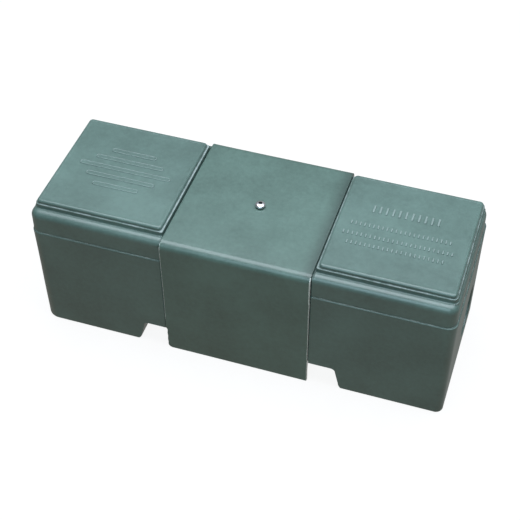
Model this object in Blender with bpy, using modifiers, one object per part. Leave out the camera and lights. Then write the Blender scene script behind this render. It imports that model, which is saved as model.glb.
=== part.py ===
"""Tamper-resistant run-through bait station for rodents.

A long moulded tub stands on two end feet and is closed by a lift-off cover.
The cover carries a raised plateau at each end, topped by a plugged-in panel.
A U-shaped centre sleeve straddles the valley between the plateaus, and one
security bolt runs through sleeve and cover into a threaded insert in the
centre post.  Inside are baffles, lift-out bait trays, rods and bait blocks.

Origin: centre of the footprint on the ground.  +X to the right end, -Y front.
"""

import math

import bmesh
import bpy
from mathutils import Matrix, Vector

MM = 0.001

# ---------------------------------------------------------------- dimensions
FIT_GAP = 0.3 * MM              # clearance between touching pieces

# base tub
TUB_RIM_HALF = (215.3 * MM, 78.4 * MM)
TUB_FOOT_X = (-215.2 * MM, 214.0 * MM)      # the left end has hardly any draft
TUB_FOOT_HALF_Y = 77.6 * MM
TUB_HEIGHT = 125.0 * MM
TUB_WALL = 4.5 * MM
TUB_FLOOR = 4.5 * MM
PLAN_RADIUS = 10.0 * MM         # vertical corners of tub and cover
FOOT_EDGE_RADIUS = 1.8 * MM

# raised middle of the tub, which leaves an arch between the two feet
ARCH_HEIGHT = 27.0 * MM
ARCH_HALF_TOP = 101.5 * MM
ARCH_HALF_FOOT = 107.5 * MM
ARCH_RADIUS = 5.0 * MM

# end entrances, towards the back wall
ENTRANCE_RADIUS = 27.0 * MM
ENTRANCE_Y = 28.0 * MM
ENTRANCE_HEIGHT = 42.0 * MM

# top cover
COVER_X = (-215.0 * MM, 214.0 * MM)
COVER_HALF_Y = 77.3 * MM
COVER_BACK_RADIUS = 15.0 * MM   # the two vertical corners at the back
COVER_LEDGE_Z = 150.0 * MM      # flat ledge round the plateaus
COVER_WALL = 4.0 * MM
SHOULDER_RADIUS = 5.0 * MM
TONGUE_DEPTH = 8.0 * MM         # how far the cover plugs into the tub
TONGUE_WALL = 3.0 * MM
FLANGE_TOP = 131.0 * MM         # top of the inner flange that sits on the rim

# valley between the plateaus and the recess that continues down both faces
VALLEY_HALF_X = 77.0 * MM
RECESS_X = (-77.0 * MM, 75.4 * MM)
VALLEY_Z = 147.4 * MM
RECESS_HALF_Y = 74.6 * MM
RECESS_WALL = 4.5 * MM
VALLEY_FOLD_RADIUS = 5.5 * MM

# plateaus and their panels
COLLAR_END_X = 211.0 * MM
COLLAR_HALF_Y = 68.5 * MM
COLLAR_TOP_Z = 155.0 * MM
COLLAR_RADIUS = 5.0 * MM
COLLAR_EDGE_RADIUS = 0.8 * MM
COLLAR_ROOF = 3.5 * MM
PANEL_INSET = 1.5 * MM          # panel edge inside the collar edge
PANEL_THICKNESS = 3.5 * MM
PANEL_RADIUS = 3.8 * MM
PANEL_EDGE_RADIUS = 2.4 * MM
WINDOW_INSET = 15.0 * MM        # opening in the collar roof, from its edge
WINDOW_RADIUS = 4.0 * MM
PLUG_DEPTH = 5.5 * MM
PLUG_WALL = 2.5 * MM

# plain raised ribs on the panels
RELIEF_HEIGHT = 0.7 * MM
RIB_WIDTH = 5.0 * MM
LOZENGE_X = 143.0 * MM
LOZENGE_LENGTH = 88.0 * MM
LOZENGE_STEP = 11.0 * MM
BARS_X = 141.5 * MM
BARS = ((23.0 * MM, 74.0 * MM, 11.0 * MM), (-1.0 * MM, 104.0 * MM, RIB_WIDTH),
        (-15.5 * MM, 112.0 * MM, RIB_WIDTH), (-28.0 * MM, 98.0 * MM, RIB_WIDTH))

# centre sleeve
SLEEVE_X = (-76.3 * MM, 74.7 * MM)
SLEEVE_HALF_Y = 81.0 * MM        # at the fold
SLEEVE_FOOT_HALF_Y = 78.9 * MM   # the flanks lean in towards the ground
SLEEVE_TOP_Z = 151.3 * MM
SLEEVE_THICKNESS = 3.6 * MM
SLEEVE_FOLD_RADIUS = 9.0 * MM
SLEEVE_FOOT_Z = 0.5 * MM

# security bolt, M6 button head
BOLT_DIAMETER = 6.0 * MM
BOLT_LENGTH = 25.0 * MM
BOLT_HEAD_DIAMETER = 10.5 * MM
BOLT_HEAD_HEIGHT = 3.3 * MM
BOLT_HEAD_RIM = 0.6 * MM        # straight rim under the dome
BOLT_TIP = 0.8 * MM             # chamfer at the tip
BOLT_SOCKET = 4.0 * MM          # hexagon across flats
BOLT_SOCKET_DEPTH = 2.0 * MM
BOLT_HOLE = 6.8 * MM
WASHER_DIAMETER = 10.0 * MM
WASHER_THICKNESS = 0.8 * MM

# centre post
POST_DIAMETER = 26.0 * MM
POST_BORE = 10.0 * MM
POST_FLANGE_DIAMETER = 54.0 * MM
POST_FLANGE_THICKNESS = 5.0 * MM
POST_SCREW_CIRCLE = 20.0 * MM   # radius
INSERT_DIAMETER = 9.4 * MM
INSERT_LENGTH = 15.0 * MM
INSERT_DEPTH = 0.7 * MM         # how far it sits below the post's top
SCREW_DIAMETER = 3.0 * MM
SCREW_LENGTH = 9.0 * MM
SCREW_HEAD_DIAMETER = 6.0 * MM
SCREW_HEAD_HEIGHT = 2.4 * MM
SCREW_HOLE = 3.6 * MM

# bait trays, rods and blocks
TRAY_X = (31.0 * MM, 101.0 * MM)
TRAY_HALF_Y = 65.5 * MM
TRAY_HEIGHT = 20.0 * MM
TRAY_WALL = 2.0 * MM
TRAY_RADIUS = 6.0 * MM
ROD_DIAMETER = 3.0 * MM
ROD_HEIGHT = 66.0 * MM
ROD_Y = 32.0 * MM
ROD_BOSS_DIAMETER = 10.0 * MM
ROD_BOSS_HEIGHT = 10.0 * MM
BLOCK_SIDE = 28.0 * MM
BLOCK_HEIGHT = 26.0 * MM
BLOCK_RADIUS = 3.0 * MM
BLOCK_CHAMFER = 1.5 * MM
BLOCK_HOLE = 4.0 * MM
BLOCKS_PER_ROD = 2

# baffles between the entrance bays and the feeding room
BAFFLE_X = 120.0 * MM
BAFFLE_THICKNESS = 3.0 * MM
BAFFLE_TOP = 116.0 * MM
BAFFLE_DOOR_Y = (-62.0 * MM, -6.0 * MM)     # in front, out of line with the entrance
BAFFLE_DOOR_Z = (10.0 * MM, 78.0 * MM)
BAFFLE_DOOR_RADIUS = 6.0 * MM
RAIL_WIDTH = 4.0 * MM
RAIL_DEPTH = 4.0 * MM
RAIL_TOP = 114.0 * MM

# cutters
OVERCUT = 5.0 * MM              # how far a cutter runs past the cut face
STAGGER = 0.2 * MM              # keeps the faces of neighbouring cutters apart
WEB = 1.0 * MM                  # how far a joined piece or a cutter runs into its neighbour

# ---------------------------------------------------------------- derived
TUB_INNER_HALF = (TUB_RIM_HALF[0] - TUB_WALL, TUB_RIM_HALF[1] - TUB_WALL)
ROOM_HALF_Y = RECESS_HALF_Y - RECESS_WALL            # inside, behind the recess
ROOM_HALF_X = VALLEY_HALF_X + RECESS_WALL
ROOM_FLOOR_Z = ARCH_HEIGHT + TUB_FLOOR
BAY_INNER_X = ARCH_HALF_FOOT + TUB_WALL
SEAM_Z = TUB_HEIGHT
COVER_BOTTOM_Z = SEAM_Z + FIT_GAP
POST_BOTTOM_Z = ROOM_FLOOR_Z + FIT_GAP
POST_TOP_Z = VALLEY_Z - COVER_WALL - FIT_GAP
PANEL_BOTTOM_Z = COLLAR_TOP_Z + FIT_GAP
PANEL_TOP_Z = PANEL_BOTTOM_Z + PANEL_THICKNESS
WASHER_BOTTOM_Z = SLEEVE_TOP_Z + FIT_GAP
BOLT_SEAT_Z = WASHER_BOTTOM_Z + WASHER_THICKNESS + FIT_GAP
SIDES = (("left", -1), ("right", 1))


# ---------------------------------------------------------------- helpers
def clear_scene():
    for obj in list(bpy.data.objects):
        bpy.data.objects.remove(obj, do_unlink=True)
    for coll in list(bpy.data.collections):
        bpy.data.collections.remove(coll)


def make_collection(name):
    coll = bpy.data.collections.new(name)
    bpy.context.scene.collection.children.link(coll)
    return coll


def make_material(name, colour, roughness, metallic=0.0):
    mat = bpy.data.materials.new(name)
    mat.use_nodes = True
    shader = mat.node_tree.nodes["Principled BSDF"]
    shader.inputs["Base Color"].default_value = (*colour, 1.0)
    shader.inputs["Roughness"].default_value = roughness
    shader.inputs["Metallic"].default_value = metallic
    return mat


def new_object(name, bm, coll, material=None, smooth_angle=35.0):
    mesh = bpy.data.meshes.new(name)
    bm.to_mesh(mesh)
    bm.free()
    obj = bpy.data.objects.new(name, mesh)
    coll.objects.link(obj)
    if material is not None:
        mesh.materials.append(material)
    mesh.shade_smooth()
    mesh.set_sharp_from_angle(angle=math.radians(smooth_angle))
    return obj


def as_cutter(obj):
    obj.hide_render = True
    obj.display_type = 'WIRE'
    return obj


def edges_along(bm, axis):
    """Edges of a box that run along one axis."""
    return [e for e in bm.edges
            if abs((e.verts[1].co - e.verts[0].co).normalized()[axis]) > 0.99]


def edges_at_height(bm, z):
    return [e for e in bm.edges if all(abs(v.co.z - z) < 1e-6 for v in e.verts)]


def bevel(bm, edges, radius, segments):
    bmesh.ops.bevel(bm, geom=edges, offset=radius, offset_type='OFFSET',
                    segments=segments, profile=0.5, affect='EDGES', clamp_overlap=True)


def box(x_range, y_range, z_range):
    """A bmesh box given by its ranges along the three axes."""
    bm = bmesh.new()
    bmesh.ops.create_cube(bm, size=1.0)
    lows = Vector((x_range[0], y_range[0], z_range[0]))
    highs = Vector((x_range[1], y_range[1], z_range[1]))
    size, centre = highs - lows, (highs + lows) / 2
    bmesh.ops.transform(bm, matrix=Matrix.Translation(centre) @ Matrix.Diagonal((*size, 1.0)),
                        verts=bm.verts)
    return bm


def rounded_box(x_range, y_range, z_range, plan_radius, plan_segments=5, top_radius=0.0,
                bottom_radius=0.0, edge_segments=3, foot_x=None, foot_y=None, back_radius=None):
    """A box with rounded vertical corners, rounded rims and an optional draft."""
    bm = box(x_range, y_range, z_range)
    if back_radius is not None:
        middle = (y_range[0] + y_range[1]) / 2
        back = [e for e in edges_along(bm, 2) if e.verts[0].co.y > middle]
        bevel(bm, back, back_radius, plan_segments)
        front = [e for e in edges_along(bm, 2) if e.verts[0].co.y < middle]
        bevel(bm, front, plan_radius, plan_segments)
    else:
        bevel(bm, edges_along(bm, 2), plan_radius, plan_segments)
    if foot_x is not None:
        for vert in bm.verts:
            if abs(vert.co.z - z_range[0]) < 1e-6:
                vert.co.x = rescaled(vert.co.x, x_range, foot_x)
                vert.co.y = rescaled(vert.co.y, y_range, foot_y)
    if top_radius:
        bevel(bm, edges_at_height(bm, z_range[1]), top_radius, edge_segments)
    if bottom_radius:
        bevel(bm, edges_at_height(bm, z_range[0]), bottom_radius, edge_segments)
    return bm


def rescaled(value, old_range, new_range):
    share = (value - old_range[0]) / (old_range[1] - old_range[0])
    return new_range[0] + share * (new_range[1] - new_range[0])


def cylinder(radius, z_range, segments=32, centre=(0.0, 0.0), axis='Z'):
    bm = bmesh.new()
    bmesh.ops.create_cone(bm, cap_ends=True, segments=segments, radius1=radius,
                          radius2=radius, depth=z_range[1] - z_range[0])
    middle = (z_range[0] + z_range[1]) / 2
    if axis == 'X':
        turn = Matrix.Rotation(math.radians(90.0), 4, 'Y')
        place = Matrix.Translation((middle, *centre))
    else:
        turn = Matrix.Identity(4)
        place = Matrix.Translation((*centre, middle))
    bmesh.ops.transform(bm, matrix=place @ turn, verts=bm.verts)
    return bm


def add_boolean(obj, tool, operation='DIFFERENCE'):
    mod = obj.modifiers.new(f"{operation.lower()} {tool.name}", 'BOOLEAN')
    mod.operation = operation
    mod.solver = 'EXACT'
    mod.object = tool
    return mod


def cut(obj, bm, tools, label):
    add_boolean(obj, as_cutter(new_object(f"{obj.name} cut {label}", bm, tools)))


def join(obj, bm, tools, label):
    add_boolean(obj, as_cutter(new_object(f"{obj.name} add {label}", bm, tools)), 'UNION')


def mirrored(x_range, side):
    """An X range given for the right side, taken to the left when side is -1."""
    ends = (side * x_range[0], side * x_range[1])
    return (min(ends), max(ends))


def turned_solid(name, profile, steps, coll, material):
    """Screw-modified solid of revolution.  The profile runs down its outer side."""
    mesh = bpy.data.meshes.new(name)
    mesh.from_pydata([(r, 0.0, z) for r, z in profile],
                     [(i, i + 1) for i in range(len(profile) - 1)], [])
    obj = bpy.data.objects.new(name, mesh)
    coll.objects.link(obj)
    mesh.materials.append(material)
    mod = obj.modifiers.new("turn", 'SCREW')
    mod.axis = 'Z'
    mod.angle = math.tau
    mod.steps = steps
    mod.render_steps = steps
    mod.use_merge_vertices = True
    mod.merge_threshold = 0.00001
    mod.use_smooth_shade = True
    return obj


# ---------------------------------------------------------------- pieces
def build_tub(parts, tools, material):
    rim_x, rim_y = TUB_RIM_HALF
    tub = new_object("base_tub", rounded_box(
        (-rim_x, rim_x), (-rim_y, rim_y), (0.0, TUB_HEIGHT), PLAN_RADIUS,
        bottom_radius=FOOT_EDGE_RADIUS, edge_segments=2, foot_x=TUB_FOOT_X,
        foot_y=(-TUB_FOOT_HALF_Y, TUB_FOOT_HALF_Y)), parts, material)

    # arch between the feet: a box that narrows upwards, with rounded top edges
    arch = box((-ARCH_HALF_FOOT, ARCH_HALF_FOOT), (-rim_y - OVERCUT, rim_y + OVERCUT),
               (-OVERCUT, ARCH_HEIGHT))
    for vert in arch.verts:
        if vert.co.z > 0.0:
            vert.co.x *= ARCH_HALF_TOP / ARCH_HALF_FOOT
    bevel(arch, [e for e in edges_along(arch, 1) if e.verts[0].co.z > 0.0], ARCH_RADIUS, 3)
    cut(tub, arch, tools, "arch")

    # inside: two entrance bays and the raised feeding room between them
    inner_x, inner_y = TUB_INNER_HALF
    top = TUB_HEIGHT + OVERCUT
    for name, side in SIDES:
        cut(tub, rounded_box(mirrored((BAY_INNER_X, inner_x), side), (-inner_y, inner_y),
                             (TUB_FLOOR, top), PLAN_RADIUS - TUB_WALL, 3), tools, f"{name} bay")
        cut(tub, box(mirrored((ROOM_HALF_X, BAY_INNER_X + WEB), side),
                     (-inner_y + STAGGER, inner_y - STAGGER),
                     (ROOM_FLOOR_Z, top - WEB)), tools, f"{name} step")
    cut(tub, box((-ROOM_HALF_X - WEB, ROOM_HALF_X + WEB), (-ROOM_HALF_Y, ROOM_HALF_Y),
                 (ROOM_FLOOR_Z - STAGGER / 4, top - 2 * WEB)), tools, "feeding room")

    # recess down the front and the back for the sleeve's flanks
    for name, side in (("front", -1), ("back", 1)):
        cut(tub, box(RECESS_X, mirrored((RECESS_HALF_Y, rim_y + OVERCUT), side),
                     (ARCH_HEIGHT - OVERCUT * 2, top)), tools, f"{name} recess")

    for name, side in SIDES:
        cut(tub, cylinder(ENTRANCE_RADIUS, mirrored((inner_x - OVERCUT, rim_x + OVERCUT), side),
                          48, (ENTRANCE_Y, ENTRANCE_HEIGHT), 'X'),
            tools, f"{name} entrance")
        for face, front in (("front", -1), ("back", 1)):
            for rail, offset in (("inner", -1), ("outer", 1)):
                middle = BAFFLE_X + offset * (BAFFLE_THICKNESS / 2 + FIT_GAP + RAIL_WIDTH / 2)
                x_range = (middle - RAIL_WIDTH / 2, middle + RAIL_WIDTH / 2)
                y_range = (inner_y - RAIL_DEPTH, inner_y + TUB_WALL / 2)
                join(tub, box(mirrored(x_range, side), mirrored(y_range, front),
                              (TUB_FLOOR / 2, RAIL_TOP)), tools, f"{name} {face} {rail} rail")
    for index, place in enumerate(post_screw_places(), 1):
        cut(tub, cylinder(SCREW_HOLE / 2, (ARCH_HEIGHT - OVERCUT, ROOM_FLOOR_Z + OVERCUT), 16,
                          place), tools, f"screw hole {index}")
    return tub


def build_cover(parts, tools, material):
    half_y = COVER_HALF_Y
    cover = new_object("top_cover", rounded_box(
        COVER_X, (-half_y, half_y), (COVER_BOTTOM_Z, COVER_LEDGE_Z), PLAN_RADIUS,
        top_radius=SHOULDER_RADIUS, edge_segments=4, back_radius=COVER_BACK_RADIUS),
        parts, material)

    # tongue that plugs into the tub
    tongue_x = TUB_INNER_HALF[0] - FIT_GAP - STAGGER / 2
    tongue_y = ROOM_HALF_Y - FIT_GAP - STAGGER / 2
    join(cover, rounded_box((-tongue_x, tongue_x), (-tongue_y, tongue_y),
                            (SEAM_Z - TONGUE_DEPTH, FLANGE_TOP - 2 * WEB),
                            PLAN_RADIUS - TUB_WALL, 3), tools, "tongue")

    # plateaus
    for name, side in SIDES:
        join(cover, rounded_box(mirrored((VALLEY_HALF_X, COLLAR_END_X), side),
                                (-COLLAR_HALF_Y, COLLAR_HALF_Y),
                                (FLANGE_TOP + 4 * WEB, COLLAR_TOP_Z), COLLAR_RADIUS, 4,
                                top_radius=COLLAR_EDGE_RADIUS, edge_segments=2),
             tools, f"{name} plateau")

    # valley floor and the recess in both faces, with a rounded fold between them
    low = SEAM_Z - TONGUE_DEPTH - OVERCUT
    cut(cover, box((-VALLEY_HALF_X, VALLEY_HALF_X), (-half_y - OVERCUT, half_y + OVERCUT),
                   (VALLEY_Z, COLLAR_TOP_Z + OVERCUT)), tools, "valley")
    for name, side in (("front", -1), ("back", 1)):
        cutter = box(RECESS_X, mirrored((RECESS_HALF_Y, half_y + OVERCUT), side),
                     (low, COLLAR_TOP_Z))
        cut(cover, cutter, tools, f"{name} recess")
        cut(cover, fold_cutter(side), tools, f"{name} fold")

    # inside
    inner_x, inner_y = COVER_X[1] - COVER_WALL, half_y - COVER_WALL
    cut(cover, rounded_box((-tongue_x + TONGUE_WALL, tongue_x - TONGUE_WALL),
                           (-tongue_y + TONGUE_WALL, tongue_y - TONGUE_WALL),
                           (low, FLANGE_TOP + WEB), TONGUE_WALL, 2), tools, "tongue room")
    room_y = RECESS_HALF_Y - COVER_WALL
    reach = VALLEY_HALF_X + COVER_WALL + 2 * WEB
    cut(cover, box((-reach, reach), (-room_y, room_y), (FLANGE_TOP, VALLEY_Z - COVER_WALL)),
        tools, "valley room")
    for name, side in SIDES:
        cut(cover, rounded_box(mirrored((VALLEY_HALF_X + COVER_WALL, inner_x), side),
                               (-inner_y, inner_y), (FLANGE_TOP - STAGGER / 4,
                                                     COVER_LEDGE_Z - COVER_WALL),
                               COVER_BACK_RADIUS - COVER_WALL, 3), tools, f"{name} room")
        cut(cover, rounded_box(mirrored((VALLEY_HALF_X + COVER_WALL + STAGGER,
                                         COLLAR_END_X - COVER_WALL), side),
                               (-COLLAR_HALF_Y + COVER_WALL, COLLAR_HALF_Y - COVER_WALL),
                               (FLANGE_TOP + 2 * WEB, COLLAR_TOP_Z - COLLAR_ROOF),
                               COLLAR_RADIUS - COVER_WALL, 2), tools, f"{name} plateau room")
        cut(cover, rounded_box(*window_ranges(side, 0.0), (FLANGE_TOP + 3 * WEB,
                                                           COLLAR_TOP_Z + OVERCUT),
                               WINDOW_RADIUS, 3), tools, f"{name} window")
    cut(cover, cylinder(BOLT_HOLE / 2, (low, COLLAR_TOP_Z), 24), tools, "bolt hole")
    return cover


def fold_cutter(side):
    """Removes the sharp edge between valley floor and recess, leaving a round fold."""
    edge = (side * RECESS_HALF_Y, VALLEY_Z)
    inward = RECESS_HALF_Y - VALLEY_FOLD_RADIUS
    bm = bmesh.new()
    outline = [(edge[0] + side * WEB, edge[1] + WEB)]
    steps = 5
    for i in range(steps + 1):
        angle = math.radians(90.0) * i / steps
        outline.append((side * (inward + VALLEY_FOLD_RADIUS * math.sin(angle)),
                        VALLEY_Z - VALLEY_FOLD_RADIUS * (1.0 - math.cos(angle))))
    outline.insert(1, (side * inward, VALLEY_Z + WEB))
    outline.append((edge[0] + side * WEB, VALLEY_Z - VALLEY_FOLD_RADIUS))
    verts = [bm.verts.new((RECESS_X[0] + STAGGER / 10, y, z)) for y, z in outline]
    face = bm.faces.new(verts)
    sweep = bmesh.ops.extrude_face_region(bm, geom=[face])
    moved = [g for g in sweep["geom"] if isinstance(g, bmesh.types.BMVert)]
    length = RECESS_X[1] - RECESS_X[0] - STAGGER / 5
    bmesh.ops.translate(bm, vec=(length, 0.0, 0.0), verts=moved)
    bmesh.ops.recalc_face_normals(bm, faces=bm.faces)
    return bm


def window_ranges(side, clearance):
    """X and Y range of the opening in a plateau, less a clearance."""
    x_range = (VALLEY_HALF_X + WINDOW_INSET + clearance, COLLAR_END_X - WINDOW_INSET - clearance)
    half_y = COLLAR_HALF_Y - WINDOW_INSET - clearance
    return mirrored(x_range, side), (-half_y, half_y)


def build_panel(name, side, relief, parts, tools, material):
    x_range = (VALLEY_HALF_X + PANEL_INSET, COLLAR_END_X - PANEL_INSET)
    half_y = COLLAR_HALF_Y - PANEL_INSET
    panel = new_object(f"{name}_top_panel", rounded_box(
        mirrored(x_range, side), (-half_y, half_y), (PANEL_BOTTOM_Z, PANEL_TOP_Z), PANEL_RADIUS, 4,
        top_radius=PANEL_EDGE_RADIUS, edge_segments=3), parts, material)
    outer = window_ranges(side, FIT_GAP)
    join(panel, rounded_box(*outer, (COLLAR_TOP_Z - PLUG_DEPTH, PANEL_BOTTOM_Z + WEB),
                            WINDOW_RADIUS, 3), tools, "plug")
    inner = window_ranges(side, FIT_GAP + PLUG_WALL)
    cut(panel, rounded_box(*inner, (COLLAR_TOP_Z - PLUG_DEPTH - OVERCUT, PANEL_BOTTOM_Z),
                           WINDOW_RADIUS / 2, 2), tools, "plug room")
    for index, (x, y, size_x, size_y) in enumerate(relief, 1):
        join(panel, box((x - size_x / 2, x + size_x / 2), (y - size_y / 2, y + size_y / 2),
                        (PANEL_TOP_Z - WEB, PANEL_TOP_Z + RELIEF_HEIGHT)),
             tools, f"rib {index}")
    return panel


def saddle(x_range, half_y, z_range, fold_radius, lean):
    """A block whose front and back lean in downwards, with rounded upper long edges."""
    bm = box(x_range, (-half_y, half_y), z_range)
    for vert in bm.verts:
        if vert.co.z < z_range[1] - 1e-6:
            vert.co.y -= math.copysign(lean * (z_range[1] - z_range[0]), vert.co.y)
    bevel(bm, [e for e in edges_along(bm, 0) if e.verts[0].co.z > z_range[1] - 1e-6],
          fold_radius, 6)
    return bm


def build_sleeve(parts, tools, material):
    lean = (SLEEVE_HALF_Y - SLEEVE_FOOT_HALF_Y) / (SLEEVE_TOP_Z - SLEEVE_FOOT_Z)
    bm = saddle(SLEEVE_X, SLEEVE_HALF_Y, (SLEEVE_FOOT_Z, SLEEVE_TOP_Z), SLEEVE_FOLD_RADIUS, lean)
    sleeve = new_object("centre_sleeve", bm, parts, material)
    room = saddle((SLEEVE_X[0] - OVERCUT, SLEEVE_X[1] + OVERCUT),
                  SLEEVE_HALF_Y - SLEEVE_THICKNESS,
                  (SLEEVE_FOOT_Z - OVERCUT, SLEEVE_TOP_Z - SLEEVE_THICKNESS),
                  SLEEVE_FOLD_RADIUS - SLEEVE_THICKNESS, lean)
    cut(sleeve, room, tools, "inside")
    cut(sleeve, cylinder(BOLT_HOLE / 2, (SLEEVE_TOP_Z - 2 * OVERCUT, SLEEVE_TOP_Z + OVERCUT), 24),
        tools, "bolt hole")
    return sleeve


def build_bolt(parts, tools, material):
    radius, head = BOLT_DIAMETER / 2, BOLT_HEAD_DIAMETER / 2
    rim = BOLT_HEAD_RIM
    dome = []
    steps = 6
    for i in range(steps + 1):
        angle = math.radians(90.0) * i / steps
        dome.append((head * math.sin(angle) if i else 0.0,
                     rim + (BOLT_HEAD_HEIGHT - rim) * math.cos(angle)))
    profile = dome + [(head, 0.0), (radius, 0.0), (radius, -BOLT_LENGTH + BOLT_TIP),
                      (radius - BOLT_TIP, -BOLT_LENGTH), (0.0, -BOLT_LENGTH)]
    bolt = turned_solid("security_bolt", profile, 32, parts, material)
    bolt.location = (0.0, 0.0, BOLT_SEAT_Z)
    socket = cylinder(BOLT_SOCKET / math.sqrt(3.0),
                      (BOLT_SEAT_Z + BOLT_HEAD_HEIGHT - BOLT_SOCKET_DEPTH,
                       BOLT_SEAT_Z + BOLT_HEAD_HEIGHT + OVERCUT), 6)
    cut(bolt, socket, tools, "hex socket")
    return bolt


def build_washer(parts, tools, material):
    washer = new_object("sealing_washer", cylinder(
        WASHER_DIAMETER / 2, (WASHER_BOTTOM_Z, WASHER_BOTTOM_Z + WASHER_THICKNESS), 32),
        parts, material)
    cut(washer, cylinder(BOLT_HOLE / 2, (WASHER_BOTTOM_Z - OVERCUT, BOLT_SEAT_Z + OVERCUT), 24),
        tools, "bore")
    return washer


def post_screw_places():
    return [(POST_SCREW_CIRCLE * math.cos(math.radians(a)), POST_SCREW_CIRCLE * math.sin(
        math.radians(a))) for a in (45, 135, 225, 315)]


def build_post(parts, tools, material):
    post = new_object("centre_post", cylinder(POST_DIAMETER / 2, (POST_BOTTOM_Z, POST_TOP_Z), 32),
                      parts, material)
    flange = cylinder(POST_FLANGE_DIAMETER / 2,
                      (POST_BOTTOM_Z + STAGGER / 10, POST_BOTTOM_Z + POST_FLANGE_THICKNESS), 40)
    join(post, flange, tools, "flange")
    cut(post, cylinder(POST_BORE / 2, (POST_BOTTOM_Z - OVERCUT, POST_TOP_Z + OVERCUT), 24),
        tools, "bore")
    for index, place in enumerate(post_screw_places(), 1):
        cut(post, cylinder(SCREW_HOLE / 2, (POST_BOTTOM_Z - OVERCUT, POST_BOTTOM_Z + 2 * OVERCUT),
                           16, place), tools, f"screw hole {index}")
    return post


def build_insert(parts, tools, material):
    z_range = (POST_TOP_Z - INSERT_DEPTH - INSERT_LENGTH, POST_TOP_Z - INSERT_DEPTH)
    insert = new_object("threaded_insert", cylinder(INSERT_DIAMETER / 2, z_range, 24),
                        parts, material)
    cut(insert, cylinder(BOLT_HOLE / 2, (z_range[0] - OVERCUT, z_range[1] + OVERCUT), 24),
        tools, "thread bore")
    return insert


def build_post_screws(parts, material):
    radius, head = SCREW_DIAMETER / 2, SCREW_HEAD_DIAMETER / 2
    profile = [(0.0, SCREW_HEAD_HEIGHT), (head * 0.6, SCREW_HEAD_HEIGHT * 0.92),
               (head * 0.9, SCREW_HEAD_HEIGHT * 0.62), (head, SCREW_HEAD_HEIGHT * 0.2),
               (head, 0.0), (radius, 0.0), (radius, -SCREW_LENGTH + radius),
               (0.0, -SCREW_LENGTH)]
    seat = POST_BOTTOM_Z + POST_FLANGE_THICKNESS + FIT_GAP
    for index, (x, y) in enumerate(post_screw_places(), 1):
        screw = turned_solid(f"post_screw_{index}", profile, 16, parts, material)
        screw.location = (x, y, seat)


def build_tray(name, side, parts, tools, material):
    bottom = ROOM_FLOOR_Z + FIT_GAP
    x_range = mirrored(TRAY_X, side)
    tray = new_object(f"{name}_bait_tray", rounded_box(
        x_range, (-TRAY_HALF_Y, TRAY_HALF_Y), (bottom, bottom + TRAY_HEIGHT), TRAY_RADIUS, 4),
        parts, material)
    cut(tray, rounded_box((x_range[0] + TRAY_WALL, x_range[1] - TRAY_WALL),
                          (-TRAY_HALF_Y + TRAY_WALL, TRAY_HALF_Y - TRAY_WALL),
                          (bottom + TRAY_WALL, bottom + TRAY_HEIGHT + OVERCUT),
                          TRAY_RADIUS - TRAY_WALL, 4), tools, "hollow")
    for label, y in (("front", -ROD_Y), ("back", ROD_Y)):
        centre = (rod_x(side), y)
        join(tray, cylinder(ROD_BOSS_DIAMETER / 2,
                            (bottom + TRAY_WALL / 2, bottom + TRAY_WALL + ROD_BOSS_HEIGHT), 20,
                            centre), tools, f"{label} rod boss")
        cut(tray, cylinder(ROD_DIAMETER / 2 + FIT_GAP,
                           (bottom + TRAY_WALL, bottom + TRAY_WALL + 2 * ROD_BOSS_HEIGHT), 16,
                           centre), tools, f"{label} rod socket")
    return tray


def rod_x(side):
    return side * (TRAY_X[0] + TRAY_X[1]) / 2


def build_rod_and_blocks(name, side, label, y, parts, tools, rod_material, block_material):
    socket_z = ROOM_FLOOR_Z + FIT_GAP + TRAY_WALL + FIT_GAP
    bm = cylinder(ROD_DIAMETER / 2, (socket_z, socket_z + ROD_HEIGHT), 12, (rod_x(side), y))
    new_object(f"{name}_{label}_bait_rod", bm, parts, rod_material)
    block_z = socket_z + ROD_BOSS_HEIGHT + FIT_GAP
    for index in range(1, BLOCKS_PER_ROD + 1):
        half = BLOCK_SIDE / 2
        x = rod_x(side)
        block = new_object(f"{name}_{label}_bait_block_{index}", rounded_box(
            (x - half, x + half), (y - half, y + half), (block_z, block_z + BLOCK_HEIGHT),
            BLOCK_RADIUS, 2, top_radius=BLOCK_CHAMFER, bottom_radius=BLOCK_CHAMFER,
            edge_segments=1),
            parts, block_material)
        cut(block, cylinder(BLOCK_HOLE / 2, (block_z - OVERCUT, block_z + BLOCK_HEIGHT + OVERCUT),
                            12, (x, y)), tools, "rod hole")
        block_z += BLOCK_HEIGHT + FIT_GAP


def build_baffle(name, side, parts, tools, material):
    half_y = TUB_INNER_HALF[1] - FIT_GAP * 2
    x_range = mirrored((BAFFLE_X - BAFFLE_THICKNESS / 2, BAFFLE_X + BAFFLE_THICKNESS / 2), side)
    baffle = new_object(f"{name}_baffle", box(x_range, (-half_y, half_y),
                                              (TUB_FLOOR + FIT_GAP, BAFFLE_TOP)), parts, material)
    door = box((x_range[0] - OVERCUT, x_range[1] + OVERCUT), BAFFLE_DOOR_Y, BAFFLE_DOOR_Z)
    bevel(door, edges_along(door, 0), BAFFLE_DOOR_RADIUS, 3)
    cut(baffle, door, tools, "door")
    return baffle


def panel_relief():
    """Raised ribs as (x, y, size x, size y): a stepped lozenge left, a block of bars right."""
    left = [(-LOZENGE_X, row * LOZENGE_STEP, LOZENGE_LENGTH * (1.0 - 0.25 * abs(row)), RIB_WIDTH)
            for row in (2, 1, 0, -1, -2)]
    right = [(BARS_X, y, length, width) for y, length, width in BARS]
    return left, right


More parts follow.
